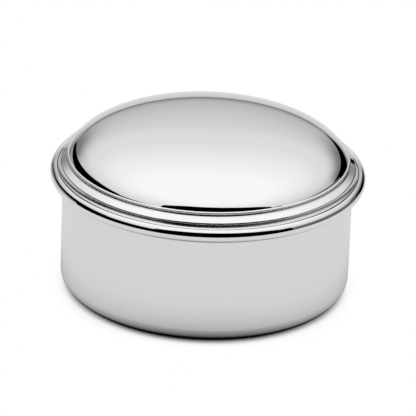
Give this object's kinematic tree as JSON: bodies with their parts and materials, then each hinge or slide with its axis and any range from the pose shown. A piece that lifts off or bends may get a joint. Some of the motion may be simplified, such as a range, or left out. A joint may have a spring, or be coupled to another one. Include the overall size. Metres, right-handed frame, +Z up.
{
  "type": "rosary box",
  "caption": "Round polished silver box with a lift-off domed lid, a stepped and beaded lid rim and a velvet-lined body.",
  "frame": {"origin": "centre of the flat underside, on the surface that the box stands on", "axes": "+Z up along the box's axis of revolution; X and Y are alike"},
  "size_m": [0.076, 0.076, 0.0427],
  "materials": {
    "silver": "mirror-polished silver plate",
    "card": "uncoated pasteboard",
    "velvet": "dark blue short-pile velvet"
  },
  "bodies": {
    "body": {"body_cup": "silver", "wall_card": "card", "wall_velvet": "velvet", "base_card": "card", "base_pad": "velvet"},
    "lid": {"stepped_mount": "silver", "rim_bead": "silver", "lid_dome": "silver", "lid_bezel": "silver"}
  },
  "joints": [
    {"name": "lid_lift", "type": "slide", "parent": "body", "child": "lid", "axis": [0, 0, 1], "range_m": [0, 0.06]}
  ]
}
